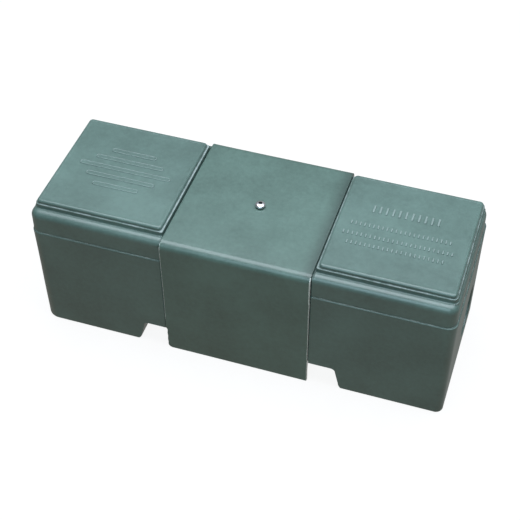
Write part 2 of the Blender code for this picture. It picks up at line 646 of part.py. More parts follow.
def main():
    clear_scene()
    parts = make_collection("bait_station")
    tools = make_collection("cutters")

    moulding = make_material("green_grey_polyethylene", (0.12, 0.19, 0.17), 0.45)
    panel_plastic = make_material("panel_polyethylene", (0.13, 0.21, 0.19), 0.42)
    sleeve_plastic = make_material("sleeve_polyethylene", (0.11, 0.18, 0.165), 0.48)
    inner_plastic = make_material("black_polypropylene", (0.03, 0.03, 0.03), 0.5)
    steel = make_material("stainless_steel", (0.6, 0.6, 0.6), 0.25, 1.0)
    brass = make_material("brass", (0.7, 0.5, 0.2), 0.3, 1.0)
    rubber = make_material("nitrile_rubber", (0.02, 0.02, 0.02), 0.7)
    bait = make_material("bait_wax", (0.05, 0.25, 0.35), 0.8)

    build_tub(parts, tools, moulding)
    build_cover(parts, tools, moulding)
    for (name, side), relief in zip(SIDES, panel_relief()):
        build_panel(name, side, relief, parts, tools, panel_plastic)
    build_sleeve(parts, tools, sleeve_plastic)
    build_bolt(parts, tools, steel)
    build_washer(parts, tools, rubber)
    build_post(parts, tools, inner_plastic)
    build_insert(parts, tools, brass)
    build_post_screws(parts, steel)
    for name, side in SIDES:
        build_tray(name, side, parts, tools, inner_plastic)
        for label, y in (("front", -ROD_Y), ("back", ROD_Y)):
            build_rod_and_blocks(name, side, label, y, parts, tools, steel, bait)
        build_baffle(name, side, parts, tools, inner_plastic)


main()
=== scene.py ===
import math

import bmesh
import bpy
from mathutils import Matrix, Vector, noise


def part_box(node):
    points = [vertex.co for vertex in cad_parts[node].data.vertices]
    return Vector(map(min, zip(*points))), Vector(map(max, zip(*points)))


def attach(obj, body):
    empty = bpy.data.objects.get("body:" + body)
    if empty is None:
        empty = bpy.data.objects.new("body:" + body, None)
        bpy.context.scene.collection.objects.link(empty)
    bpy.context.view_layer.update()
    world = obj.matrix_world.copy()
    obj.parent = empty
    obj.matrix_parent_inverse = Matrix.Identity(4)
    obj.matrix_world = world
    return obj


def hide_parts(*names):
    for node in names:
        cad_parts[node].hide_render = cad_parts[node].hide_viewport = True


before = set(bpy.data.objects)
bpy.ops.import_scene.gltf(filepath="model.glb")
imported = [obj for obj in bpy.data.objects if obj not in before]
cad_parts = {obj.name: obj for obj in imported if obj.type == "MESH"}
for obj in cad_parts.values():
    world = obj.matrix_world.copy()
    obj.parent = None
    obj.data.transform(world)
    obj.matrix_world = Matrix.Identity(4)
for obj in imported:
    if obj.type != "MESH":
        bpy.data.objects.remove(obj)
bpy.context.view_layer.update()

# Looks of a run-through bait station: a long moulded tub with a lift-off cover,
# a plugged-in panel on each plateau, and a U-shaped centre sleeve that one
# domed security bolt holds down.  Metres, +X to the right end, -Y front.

MM = 0.001
UP = Vector((0.0, 0.0, 1.0))

# ---------------- sizes
TUB_LOW, TUB_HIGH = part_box("base_tub")
COVER_LOW, COVER_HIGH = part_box("top_cover")
SLEEVE_LOW, SLEEVE_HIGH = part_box("centre_sleeve")
BOLT_LOW, BOLT_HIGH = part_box("security_bolt")
PANEL_BOX = {side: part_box(f"{side}_top_panel") for side in ("left", "right")}

RIM_HALF = (TUB_HIGH.x, TUB_HIGH.y)
FOOT_X = (TUB_LOW.x + 0.1 * MM, TUB_HIGH.x - 1.3 * MM)
FOOT_HALF_Y = TUB_HIGH.y - 0.8 * MM
RIM_Z = TUB_HIGH.z
TUB_WALL = 4.5 * MM
PLAN_RADIUS = 10.0 * MM
LEFT_FOOT_RADIUS = 15.0 * MM    # the left corners open up a little towards the ground
RIGHT_FOOT_RADIUS = 7.5 * MM    # and the right corners close up
FOOT_EDGE = 1.5 * MM
RIM_EDGE = 0.8 * MM
WALL_WAVE = 0.35 * MM           # how far moulded walls wander inwards
WALL_STEPS = dict(steps=9, long_steps=26, short_steps=10)

ARCH_TOP = 27.0 * MM
ARCH_HALF_TOP = 101.5 * MM
ARCH_HALF_FOOT = 106.0 * MM
ARCH_MIDDLE = 1.0 * MM          # the arch lies a little to the right
ARCH_CORNER = 5.0 * MM
ARCH_FLARE = 7.0 * MM           # rounding of the feet's inner bottom edges
CUT_EDGE = 0.8 * MM             # rounding where an opening meets a wall

ENTRANCE_RADIUS = 27.0 * MM
ENTRANCE_Y = 28.0 * MM
ENTRANCE_Z = 42.0 * MM
ENTRANCE_EDGE = 1.6 * MM

BAFFLE_X = 120.0 * MM
RAIL_OFFSET = 3.8 * MM          # from the baffle's middle to a rail's middle
RAIL_WIDTH = 4.0 * MM
RAIL_TOP = 114.0 * MM
POST_SCREW_CIRCLE = 20.0 * MM   # radius that the post's four screws stand on
POST_SCREW_PILOT = 1.8 * MM     # radius of their pilot holes

COVER_X = (COVER_LOW.x, COVER_HIGH.x)
COVER_HALF_Y = COVER_HIGH.y
COVER_BACK_RADIUS = 15.0 * MM   # the two vertical corners at the back
COVER_BOTTOM = RIM_Z + 0.3 * MM
LEDGE_Z = 150.0 * MM
COVER_WALL = 4.0 * MM
COVER_EDGE = 0.5 * MM
SHOULDER = 7.5 * MM
TONGUE_DEPTH = RIM_Z - COVER_LOW.z
TONGUE_WALL = 3.0 * MM
TONGUE_PLAY = 0.4 * MM
FLANGE_TOP = 131.0 * MM         # inner flange that rests on the tub's rim
VALLEY_HALF_X = 77.0 * MM
VALLEY_Z = 147.4 * MM
VALLEY_FOLD = 5.5 * MM
RECESS_X = (-77.0 * MM, 75.1 * MM)
RECESS_HALF_Y = 74.6 * MM
ROOM_HALF_Y = 70.1 * MM         # the raised middle of the tub's inside
ROOM_HALF_X = 81.5 * MM
ROOM_FLOOR = 31.5 * MM
BAY_INNER_X = 112.0 * MM        # where the low floor of an entrance bay ends
COLLAR_END_X = 211.0 * MM
COLLAR_HALF_Y = 68.5 * MM
COLLAR_TOP = 155.0 * MM
COLLAR_RADIUS = 5.0 * MM
COLLAR_FOOT = 1.2 * MM          # fillet between plateau wall and ledge
COLLAR_EDGE = 0.7 * MM
COLLAR_DRAFT = 0.12 * MM
COLLAR_ROOF = 3.5 * MM
WINDOW_INSET = 15.0 * MM        # opening for a panel's plug, from the plateau's edge
WINDOW_RADIUS = 4.0 * MM
OVER = 6.0 * MM                 # how far a cutting tool reaches past what it cuts

PANEL_Z = 155.3 * MM
PANEL_TOP = 158.8 * MM
PANEL_RADIUS = 3.8 * MM
PANEL_EDGE = 2.4 * MM
PLUG_DEPTH = 5.5 * MM
PLUG_WALL = 2.5 * MM
PLUG_PLAY = 0.3 * MM
LEFT_RIBS = (-143.0 * MM, 98.0 * MM, 13.0 * MM, 6.0 * MM)       # middle, length, pitch, width
# the right panel's rows of ribs: y and length of each row, then height, pitch and width of a rib
RIGHT_RIBS_X = 141.5 * MM
TALL_ROW, TALL_RIB = (23.0 * MM, 74.0 * MM), (11.0 * MM, 6.4 * MM, 2.7 * MM)
LOW_ROWS = ((-1.0 * MM, 104.0 * MM), (-15.5 * MM, 112.0 * MM), (-28.0 * MM, 98.0 * MM))
LOW_RIB = (5.6 * MM, 4.4 * MM, 2.2 * MM)

SLEEVE_WIDTH = 151.0 * MM
SLEEVE_HALF_TOP = 80.96 * MM
SLEEVE_HALF_FOOT = 78.9 * MM
SLEEVE_SKIN = 3.6 * MM
SLEEVE_FOLD = 8.0 * MM
SAW_WANDER = (5.0 * MM, 1.9 * MM)       # coarse and fine raggedness along a sawn edge
SLEEVE_BOW = 0.42 * MM          # how far the left edges bow in at mid height
BOW_HEIGHT = 150.0 * MM
STEP_Z, STEP_DEPTH = 30.0 * MM, 1.4 * MM        # step in the front flank's left edge
CORNER_FRONT = 4.5 * MM         # bottom left corner of the front flank
CORNER_BACK = 4.0 * MM          # bottom right corner of the back flank
NUB_Z = 114.0 * MM              # a saw nub on the front right edge
# width of the painted shadow on the sleeve's top beside the right block
PLATEAU_SHADOW_WIDTH = 13.0 * MM
BOLT_HOLE = 6.8 * MM

BOLT_LENGTH = 25.0 * MM         # under the head
BOLT_SEAT = BOLT_LOW.z + BOLT_LENGTH
BOLT_HEAD = BOLT_HIGH.x
BOLT_DOME = BOLT_HIGH.z - BOLT_SEAT
BOLT_SHANK = 3.0 * MM
THREAD_PITCH = 1.0 * MM
THREAD_DEPTH = 0.5 * MM
SOCKET_FLATS = 4.0 * MM
SIDES = (-1.0, 1.0)             # left and right, or front and back


# ---------------- mesh helpers
def quarter(steps, first=0, last=None):
    """Sine and cosine at equal steps of a quarter turn, from step first to step last."""
    for i in range(first, (steps if last is None else last) + 1):
        angle = math.radians(90.0 * i / steps)
        yield math.sin(angle), math.cos(angle)


def ring(half_x, half_y, radius, z, centre=(0.0, 0.0), steps=9, long_steps=1, short_steps=1,
         back_radius=None, right_radius=None):
    """A rounded rectangle at height z, anticlockwise, with extra points on its sides."""
    front = max(radius, 0.05 * MM)
    back = front if back_radius is None else back_radius
    corners = ((1, 1, 0.0, back), (-1, 1, 90.0, back), (-1, -1, 180.0, front),
               (1, -1, 270.0, front))
    arcs = []
    for sx, sy, start, r in corners:
        if sx > 0 and right_radius is not None:
            r = right_radius
        arc = []
        for i in range(steps + 1):
            angle = math.radians(start + 90.0 * i / steps)
            arc.append(Vector((centre[0] + sx * (half_x - r) + r * math.cos(angle),
                               centre[1] + sy * (half_y - r) + r * math.sin(angle), z)))
        arcs.append(arc)
    points = []
    for k, arc in enumerate(arcs):
        points += arc
        after = arcs[(k + 1) % 4][0]
        count = long_steps if k % 2 == 0 else short_steps
        points += [arc[-1].lerp(after, i / count) for i in range(1, count)]
    return points


def skin(bm, rows):
    """Bridges rows of vertices, all of one length, into a tube and caps both ends."""
    count = len(rows[0])
    for low, high in zip(rows, rows[1:]):
        for i in range(count):
            j = (i + 1) % count
            bm.faces.new((low[i], low[j], high[j], high[i]))
    bm.faces.new(list(reversed(rows[0])))
    bm.faces.new(rows[-1])


def loft(rings):
    """A solid through rings of equal length, capped at both ends."""
    bm = bmesh.new()
    skin(bm, [[bm.verts.new(p) for p in points] for points in rings])
    bmesh.ops.recalc_face_normals(bm, faces=bm.faces)
    return bm


def block(x_range, y_range, z_range, radius=0.0, steps=4, foot=0.0):
    """A box with rounded vertical corners and, with foot, a rounded bottom rim."""
    centre = ((x_range[0] + x_range[1]) / 2, (y_range[0] + y_range[1]) / 2)
    half = ((x_range[1] - x_range[0]) / 2, (y_range[1] - y_range[0]) / 2)
    rings = []
    if foot:
        for sine, cosine in quarter(4, 0, 3):
            inset = foot * (1.0 - sine)
            rings.append(ring(half[0] - inset, half[1] - inset, radius - inset,
                              z_range[0] + foot * (1.0 - cosine), centre, steps))
    for z in (z_range[0] + foot, z_range[1]):
        rings.append(ring(half[0], half[1], radius, z, centre, steps))
    return loft(rings)


def prism(axis, sections):
    """Sweeps (place, outline) sections along an axis.  Outlines are pairs in the other axes."""
    put = {'X': lambda w, u, v: (w, u, v), 'Y': lambda w, u, v: (u, w, v),
           'Z': lambda w, u, v: (u, v, w)}[axis]
    return loft([[Vector(put(place, u, v)) for u, v in outline] for place, outline in sections])


def lathe(profile, steps=64, axis='Z', centre=(0.0, 0.0, 0.0)):
    """A solid of revolution.  The profile runs from one pole to the other as (radius, height)."""
    bm = bmesh.new()
    rows = []
    for radius, height in profile:
        if radius < 1e-7:
            rows.append([bm.verts.new((0.0, 0.0, height))])
            continue
        rows.append([bm.verts.new((radius * math.cos(math.tau * i / steps),
                                   radius * math.sin(math.tau * i / steps), height))
                     for i in range(steps)])
    for low, high in zip(rows, rows[1:]):
        for i in range(steps):
            j = (i + 1) % steps
            corner = [low[i % len(low)], low[j % len(low)], high[j % len(high)],
                      high[i % len(high)]]
            bm.faces.new(list(dict.fromkeys(corner)))
    for row in (rows[0], rows[-1]):
        if len(row) > 1:
            bm.faces.new(row)
    turn = Matrix.Rotation(math.radians(90.0), 4, 'Y') if axis == 'X' else Matrix.Identity(4)
    bmesh.ops.transform(bm, matrix=Matrix.Translation(centre) @ turn, verts=bm.verts)
    bmesh.ops.recalc_face_normals(bm, faces=bm.faces)
    return bm


def drill(radius, low, high, steps=48, centre=(0.0, 0.0, 0.0)):
    """A round upright cutting tool."""
    return lathe([(0.0, low), (radius, low), (radius, high), (0.0, high)], steps, centre=centre)


def mirrored(x_range, side):
    """The range given for the positive side, on either side of the middle."""
    ends = (side * x_range[0], side * x_range[1])
    return (min(ends), max(ends))


def new_piece(name, bm):
    mesh = bpy.data.meshes.new(name)
    bm.to_mesh(mesh)
    bm.free()
    obj = bpy.data.objects.new(name, mesh)
    bpy.context.scene.collection.objects.link(obj)
    return obj


def carve(obj, bm, operation='DIFFERENCE'):
    """Applies an exact boolean with a temporary tool."""
    tool = new_piece("tool", bm)
    mod = obj.modifiers.new("carve", 'BOOLEAN')
    mod.operation = operation
    mod.solver = 'EXACT'
    mod.object = tool
    depsgraph = bpy.context.evaluated_depsgraph_get()
    made = bpy.data.meshes.new_from_object(obj.evaluated_get(depsgraph))
    obj.modifiers.clear()
    old, obj.data = obj.data, made
    bpy.data.meshes.remove(old)
    bpy.data.objects.remove(tool, do_unlink=True)


def dress(obj, body, materials, nodes=(), sharp=32.0):
    """Shading, materials, body, and hides the CAD nodes that the piece stands for."""
    obj.data.name = obj.name
    obj.data.materials.clear()
    for material in materials:
        obj.data.materials.append(material)
    obj.data.shade_smooth()
    obj.data.set_sharp_from_angle(angle=math.radians(sharp))
    weighted = obj.modifiers.new("even shading", 'WEIGHTED_NORMAL')
    weighted.keep_sharp = True
    weighted.weight = 80
    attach(obj, body)
    if nodes:
        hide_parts(*nodes)


def wave(point, size, seed=0.0):
    """Smooth noise from 0 to 1, for the slow wander of moulded walls."""
    place = Vector((point[0] / size + seed, point[1] / size - seed, point[2] / size + 2 * seed))
    return 0.5 + 0.5 * max(-1.0, min(1.0, noise.noise(place) * 1.6))


def wander(points, middle_x, half, share, size, seed=0.0):
    """Moves the points of the four walls inwards by a share of the slow wave."""
    margin = PLAN_RADIUS * 0.3
    for p in points:
        push = WALL_WAVE * share * wave(p, size, seed)
        if abs(p.x - middle_x) > half[0] - margin:
            p.x -= math.copysign(push, p.x)
        elif abs(p.y) > half[1] - margin:
            p.y -= math.copysign(push, p.y)


# ---------------- material helpers
class Nodes:
    """A small wrapper for building one material's node tree."""

    def __init__(self, name):
        self.material = bpy.data.materials.new(name)
        self.material.use_nodes = True
        self.tree = self.material.node_tree
        self.shader = self.tree.nodes["Principled BSDF"]
        self.place = self.add('ShaderNodeTexCoord').outputs["Object"]

    def add(self, kind, **settings):
        node = self.tree.nodes.new(kind)
        for key, value in settings.items():
            setattr(node, key, value)
        return node

    def link(self, output, socket):
        self.tree.links.new(output, socket)

    def along(self, axis):
        """One of the object's own coordinates."""
        split = self.add('ShaderNodeSeparateXYZ')
        self.link(self.place, split.inputs["Vector"])
        return split.outputs[axis]

    def stretched(self, scale):
        """The object's own coordinates, stretched by one factor per axis."""
        node = self.add('ShaderNodeMapping')
        node.inputs["Scale"].default_value = scale
        self.link(self.place, node.inputs["Vector"])
        return node.outputs["Vector"]

    def noise(self, scale, detail=3.0, rough=0.5, place=None, distortion=0.0):
        node = self.add('ShaderNodeTexNoise')
        node.inputs["Scale"].default_value = scale
        node.inputs["Detail"].default_value = detail
        node.inputs["Roughness"].default_value = rough
        node.inputs["Distortion"].default_value = distortion
        self.link(place or self.place, node.inputs["Vector"])
        return node.outputs["Fac"]

    def span(self, value, low, high, to_low=0.0, to_high=1.0):
        node = self.add('ShaderNodeMapRange')
        for key, number in (("From Min", low), ("From Max", high),
                            ("To Min", to_low), ("To Max", to_high)):
            node.inputs[key].default_value = number
        self.link(value, node.inputs["Value"])
        return node.outputs["Result"]

    def maths(self, operation, first, second):
        node = self.add('ShaderNodeMath', operation=operation)
        for socket, value in zip(node.inputs, (first, second)):
            if isinstance(value, (int, float)):
                socket.default_value = value
            else:
                self.link(value, socket)
        return node.outputs["Value"]

    def blend(self, fac, first, second):
        node = self.add('ShaderNodeMix', data_type='RGBA')
        self.link(fac, node.inputs["Factor"])
        for socket, value in ((node.inputs[6], first), (node.inputs[7], second)):
            if isinstance(value, tuple):
                socket.default_value = (*value, 1.0)
            else:
                self.link(value, socket)
        return node.outputs[2]

    def bump(self, heights):
        """Chains bumps from (height, strength, distance) rows into the shader's normal."""
        normal = None
        for height, strength, distance in heights:
            node = self.add('ShaderNodeBump')
            node.inputs["Strength"].default_value = strength
            node.inputs["Distance"].default_value = distance
            self.link(height, node.inputs["Height"])
            if normal is not None:
                self.link(normal, node.inputs["Normal"])
            normal = node.outputs["Normal"]
        self.link(normal, self.shader.inputs["Normal"])

    def attribute(self, name):
        return self.add('ShaderNodeAttribute', attribute_name=name).outputs["Fac"]

    def put(self, name, value):
        socket = self.shader.inputs[name]
        if isinstance(value, bpy.types.NodeSocket):
            self.link(value, socket)
        else:
            socket.default_value = value


def polyethylene(name, colour, worn=None, painted_highlight_above=None, painted_lip_highlight=False):
    """Green-grey moulded polyethylene: faint mottling, waxy sheen, fine grain and scuffs."""
    m = Nodes(name)
    dark = tuple(c * 0.82 for c in colour)
    light = tuple(c * 1.17 for c in colour)
    pale = tuple(0.55 * c + 0.45 * g for c, g in zip(colour, (0.34, 0.40, 0.39)))
    clouds = m.noise(16.0, 3.0, 0.55)
    mottle = m.noise(230.0, 4.0, 0.65)
    mix = m.maths('ADD', m.maths('MULTIPLY', clouds, 0.6), m.maths('MULTIPLY', mottle, 0.4))
    base = m.blend(m.span(mix, 0.36, 0.64), dark, light)
    # fine handling scratches, drawn out along the length
    scratch = m.noise(60.0, 6.0, 0.7, m.stretched((0.6, 7.0, 7.0)), 0.4)
    scuffs = m.maths('MULTIPLY', m.span(scratch, 0.62, 0.78), m.span(clouds, 0.45, 0.7))
    base = m.blend(m.maths('MULTIPLY', scuffs, 0.35), base, pale)
    # pale dust specks
    specks = m.noise(1500.0, 1.0, 0.4)
    base = m.blend(m.maths('MULTIPLY', m.span(specks, 0.74, 0.80), 0.5), base, pale)
    if painted_highlight_above:
        # painted highlight: raised ribs are painted paler than the plate they stand on
        rise = m.span(m.along("Z"), painted_highlight_above + 0.30 * MM, painted_highlight_above + 0.60 * MM)
        base = m.blend(m.maths('MULTIPLY', rise, 0.85), base, pale)
    if painted_lip_highlight:
        # the plateaus' top edges are painted pale as a highlight, most of all on the left one's
        # inner side
        edge = m.span(m.along("Z"), COLLAR_TOP - 1.1 * MM, COLLAR_TOP - 0.4 * MM)
        inner = m.maths('MULTIPLY', m.span(m.along("X"), -VALLEY_HALF_X - 4.0 * MM,
                                           -VALLEY_HALF_X - 2.0 * MM),
                        m.span(m.along("X"), 0.0, -1.0 * MM))
        ragged = m.span(m.noise(140.0, 4.0, 0.7), 0.40, 0.62, 0.05, 0.50)
        ragged = m.maths('ADD', ragged, m.maths('MULTIPLY', inner, 0.4))
        base = m.blend(m.maths('MULTIPLY', edge, ragged), base, (0.33, 0.39, 0.38))
    if worn:
        # painted shadow on top beside the right block, where the block's shade falls, then ragged
        # whitening along the sawn edges
        base = m.blend(m.maths('MULTIPLY', m.attribute("plateau_shadow"), 0.65), base,
                       (0.020, 0.034, 0.030))
        ragged = m.maths('MULTIPLY', m.noise(900.0, 3.0, 0.7), 0.9)
        amount = m.span(m.maths('ADD', m.attribute("cut_edge"), ragged), 0.95, 1.25)
        base = m.blend(amount, base, worn)
    m.put("Base Color", base)
    sheen = m.maths('ADD', m.maths('MULTIPLY', mottle, 0.5), m.maths('MULTIPLY', clouds, 0.5))
    m.put("Roughness", m.span(sheen, 0.3, 0.7, 0.31, 0.38))
    m.put("IOR", 1.5)
    m.put("Specular IOR Level", 0.7)
    m.bump(((m.noise(34.0, 2.0, 0.45), 0.30, 0.0008),
            (m.noise(420.0, 3.0, 0.6), 0.18, 0.00018),
            (m.noise(2600.0, 2.0, 0.5), 0.20, 0.00005)))
    return m.material


def pale_flash(name):
    """Whitened plastic squeezed out of a joint: pale blobs on a duller thread."""
    m = Nodes(name)
    blobs = m.noise(110.0, 3.0, 0.6)
    fine = m.noise(900.0, 3.0, 0.6)
    base = m.blend(m.span(blobs, 0.42, 0.62), (0.10, 0.145, 0.128), (0.33, 0.36, 0.33))
    m.put("Base Color", m.blend(m.span(fine, 0.35, 0.65), base, (0.20, 0.24, 0.22)))
    m.put("Roughness", m.span(fine, 0.3, 0.7, 0.55, 0.75))
    m.put("Specular IOR Level", 0.3)
    m.bump(((fine, 0.3, 0.0001),))
    return m.material


def black_plastic(name):
    """Moulded black: faint mottling and flow lines."""
    m = Nodes(name)
    mottle = m.noise(180.0, 4.0, 0.6)
    flow = m.noise(30.0, 4.0, 0.6, m.stretched((1.0, 1.0, 4.0)), 0.8)
    m.put("Base Color", m.blend(m.span(mottle, 0.35, 0.65), (0.020, 0.021, 0.021),
                                (0.034, 0.0357, 0.0357)))
    m.put("Roughness", m.span(flow, 0.3, 0.7, 0.34, 0.54))
    m.bump(((m.noise(900.0, 3.0, 0.55), 0.25, 0.00012),
            (flow, 0.15, 0.0004)))
    return m.material


def metal(name, colour, roughness, brushed):
    """Bare metal with fine streaks, stretched by one factor per axis, and a faint stain."""
    m = Nodes(name)
    streaks = m.noise(900.0, 4.0, 0.6, m.stretched(brushed))
    stain = m.noise(140.0, 3.0, 0.6)
    m.put("Base Color", m.blend(m.span(stain, 0.35, 0.7), colour,
                                tuple(c * 0.82 for c in colour)))
    m.put("Metallic", 1.0)
    m.put("Roughness", m.span(streaks, 0.3, 0.7, roughness - 0.05, roughness + 0.10))
    m.bump(((streaks, 0.12, 0.00004),))
    return m.material


def rubber(name):
    """Dull black nitrile with a fine grain."""
    m = Nodes(name)
    grain = m.noise(1300.0, 4.0, 0.65)
    m.put("Base Color", m.blend(m.span(grain, 0.35, 0.65), (0.012, 0.012, 0.012),
                                (0.028, 0.028, 0.027)))
    m.put("Roughness", m.span(grain, 0.3, 0.7, 0.62, 0.82))
    m.bump(((grain, 0.35, 0.0001),))
    return m.material


def bait_wax(name):
    """Blue-green wax block with milled grain pressed into it."""
    m = Nodes(name)
    cells = m.add('ShaderNodeTexVoronoi')
    cells.inputs["Scale"].default_value = 420.0
    m.link(m.place, cells.inputs["Vector"])
    flakes = m.span(cells.outputs["Distance"], 0.15, 0.45)
    chosen = m.span(m.noise(300.0, 2.0, 0.5), 0.52, 0.6)
    grain = m.maths('MULTIPLY', m.maths('SUBTRACT', 1.0, flakes), chosen)
    wax = m.blend(m.span(m.noise(60.0, 3.0, 0.6), 0.3, 0.7), (0.020, 0.135, 0.165),
                  (0.045, 0.215, 0.240))
    m.put("Base Color", m.blend(grain, wax, (0.36, 0.28, 0.13)))
    m.put("Roughness", m.span(m.noise(500.0, 3.0, 0.6), 0.3, 0.7, 0.42, 0.68))
    m.put("Subsurface Weight", 0.08)
    m.put("Subsurface Scale", 0.004)
    m.bump(((m.noise(500.0, 4.0, 0.65), 0.6, 0.0004), (flakes, 0.2, 0.0003)))
    return m.material


# ---------------- materials
MOULDING = polyethylene("green_grey_moulding", (0.077, 0.132, 0.115))
# the cover's plateau lips carry a painted highlight
COVER = polyethylene("green_grey_cover", (0.078, 0.132, 0.115), painted_lip_highlight=True)
# the panels' raised ribs carry a painted highlight
PANEL = polyethylene("green_grey_panel", (0.080, 0.137, 0.119), painted_highlight_above=PANEL_TOP)
SLEEVE = polyethylene("green_grey_sleeve", (0.074, 0.131, 0.110), worn=(0.62, 0.65, 0.61))
FLASH = pale_flash("pale_parting_flash")
INNER = black_plastic("black_inner_moulding")
STEEL = metal("polished_steel", (0.86, 0.87, 0.90), 0.24, (1.0, 1.0, 0.3))
SOCKET_FILL = black_plastic("dark_socket_fill")
WIRE = metal("drawn_wire", (0.62, 0.63, 0.64), 0.26, (6.0, 6.0, 0.4))
BRASS = metal("turned_brass", (0.74, 0.54, 0.24), 0.24, (1.0, 1.0, 14.0))
RUBBER = rubber("black_nitrile")
WAX = bait_wax("blue_bait_wax")


# ---------------- tub
def tub_shell():
    """Outer body of the tub: drafted walls with a slow wave, rounded foot and rim."""
    rings = []
    for sine, cosine in quarter(5, 0, 4):
        rings.append((FOOT_EDGE * (1.0 - sine), FOOT_EDGE * (1.0 - cosine), 0.0))
    rows = 14
    for i in range(rows + 1):
        z = FOOT_EDGE + (RIM_Z - RIM_EDGE - FOOT_EDGE) * i / rows
        rings.append((0.0, z, math.sin(math.pi * i / rows) ** 0.5))
    for sine, cosine in quarter(3, 1):
        rings.append((RIM_EDGE * (1.0 - cosine), RIM_Z - RIM_EDGE * (1.0 - sine), 0.0))
    made = []
    for inset, z, share in rings:
        up = z / RIM_Z
        low_x, high_x = end_walls(z)
        middle, half_x = (low_x + high_x) / 2, (high_x - low_x) / 2
        half_y = FOOT_HALF_Y + (RIM_HALF[1] - FOOT_HALF_Y) * up
        left, right = (foot + (PLAN_RADIUS - foot) * up - inset
                       for foot in (LEFT_FOOT_RADIUS, RIGHT_FOOT_RADIUS))
        points = ring(half_x - inset, half_y - inset, left, z, (middle, 0.0),
                      right_radius=right, **WALL_STEPS)
        wander(points, middle, (half_x, half_y), share, 70.0 * MM)
        made.append(points)
    return loft(made)


def end_walls(z):
    """X of the tub's left and right end faces at a height."""
    up = z / RIM_Z
    return (FOOT_X[0] + (-RIM_HALF[0] - FOOT_X[0]) * up,
            FOOT_X[1] + (RIM_HALF[0] - FOOT_X[1]) * up)


def arch_section(grow):
    """Outline of the arch between the feet, grown outwards by grow."""
    lean = (ARCH_HALF_FOOT - ARCH_HALF_TOP) / ARCH_TOP
    flare = ARCH_FLARE - grow
    foot_x, foot_z = ARCH_HALF_FOOT + grow, -0.25 * MM
    half = [(foot_x + flare, -OVER)]
    for sine, cosine in quarter(6):                  # rounded inner edge of the foot
        half.append((foot_x + flare * (1.0 - sine), foot_z + flare * (1.0 - cosine)))
    corner = ARCH_CORNER + grow
    top = ARCH_TOP + grow
    side_x = ARCH_HALF_TOP + grow + lean * corner
    for sine, cosine in quarter(6):                  # rounded top corner
        half.append((side_x - corner * (1.0 - cosine), top - corner * (1.0 - sine)))
    both = half + [(-x, z) for x, z in reversed(half)]
    return [(ARCH_MIDDLE + x, z) for x, z in both]


def flared_stations(face):
    """Stations across a pair of walls at +-face, with the growth that rounds their edges."""
    outer = [(face + OVER, CUT_EDGE), (face + 0.05 * MM, CUT_EDGE)]
    for sine, _ in quarter(4, 1):
        outer.append((face - CUT_EDGE * sine, CUT_EDGE * (1.0 - sine)))
    return [(-y, g) for y, g in outer] + [(y, g) for y, g in reversed(outer)]


def build_tub():
    """Shell on two feet, hollowed into two low bays and a raised middle room."""
    tub = new_piece("tub_moulding", tub_shell())
    face = FOOT_HALF_Y + (RIM_HALF[1] - FOOT_HALF_Y) * ARCH_TOP / RIM_Z / 2
    carve(tub, prism('Y', [(y, arch_section(grow)) for y, grow in flared_stations(face)]))

    inner_x, inner_y = RIM_HALF[0] - TUB_WALL, RIM_HALF[1] - TUB_WALL
    above = RIM_Z + 5.0 * MM
    for side in SIDES:
        carve(tub, block(mirrored((BAY_INNER_X, inner_x), side), (-inner_y, inner_y),
                         (TUB_WALL, above), PLAN_RADIUS - TUB_WALL, foot=2.5 * MM))
        carve(tub, block(mirrored((ROOM_HALF_X, BAY_INNER_X + 1.0 * MM), side),
                         (-inner_y + 0.2 * MM, inner_y - 0.2 * MM),
                         (ROOM_FLOOR, above - 1.0 * MM)))
    carve(tub, block((-ROOM_HALF_X - 1.0 * MM, ROOM_HALF_X + 1.0 * MM),
                     (-ROOM_HALF_Y, ROOM_HALF_Y), (ROOM_FLOOR - 0.05 * MM, above - 2.0 * MM)))
    for side in SIDES:
        carve(tub, recess_cutter(side, RIM_HALF[1], 10.0 * MM, above))

    for side in SIDES:
        carve(tub, entrance_cutter(side, inner_x))
        for front in SIDES:
            for offset in (-RAIL_OFFSET, RAIL_OFFSET):
                middle = BAFFLE_X + offset
                rail = (middle - RAIL_WIDTH / 2, middle + RAIL_WIDTH / 2)
                carve(tub, block(mirrored(rail, side),
                                 mirrored((inner_y - 4.0 * MM, inner_y + 2.0 * MM), front),
                                 (TUB_WALL / 2, RAIL_TOP)), 'UNION')
    for angle in (45.0, 135.0, 225.0, 315.0):
        place = (POST_SCREW_CIRCLE * math.cos(math.radians(angle)),
                 POST_SCREW_CIRCLE * math.sin(math.radians(angle)), 0.0)
        carve(tub, drill(POST_SCREW_PILOT, ARCH_TOP - 5.0 * MM, ROOM_FLOOR + 5.0 * MM, 24, place))
    dress(tub, "base", [MOULDING], ["base_tub"])


def entrance_cutter(side, inner_x):
    """Bores the round entrance through an end wall and rounds its outer edge."""
    outer = abs(end_walls(ENTRANCE_Z)[0 if side < 0.0 else 1])
    inside = inner_x - OVER
    profile = [(0.0, inside), (ENTRANCE_RADIUS, inside)]
    for sine, cosine in quarter(5):
        profile.append((ENTRANCE_RADIUS + ENTRANCE_EDGE * (1.0 - cosine),
                        outer - ENTRANCE_EDGE + ENTRANCE_EDGE * sine))
    mouth = ENTRANCE_RADIUS + ENTRANCE_EDGE + 0.2 * MM
    profile += [(mouth, outer + 0.4 * MM), (mouth, outer + 8.0 * MM), (0.0, outer + 8.0 * MM)]
    cutter = lathe(profile, 64, 'X')
    bmesh.ops.transform(cutter, matrix=Matrix.Translation((0.0, ENTRANCE_Y, ENTRANCE_Z))
                        @ Matrix.Diagonal((side, 1.0, 1.0, 1.0)), verts=cutter.verts)
    bmesh.ops.recalc_face_normals(cutter, faces=cutter.faces)
    return cutter


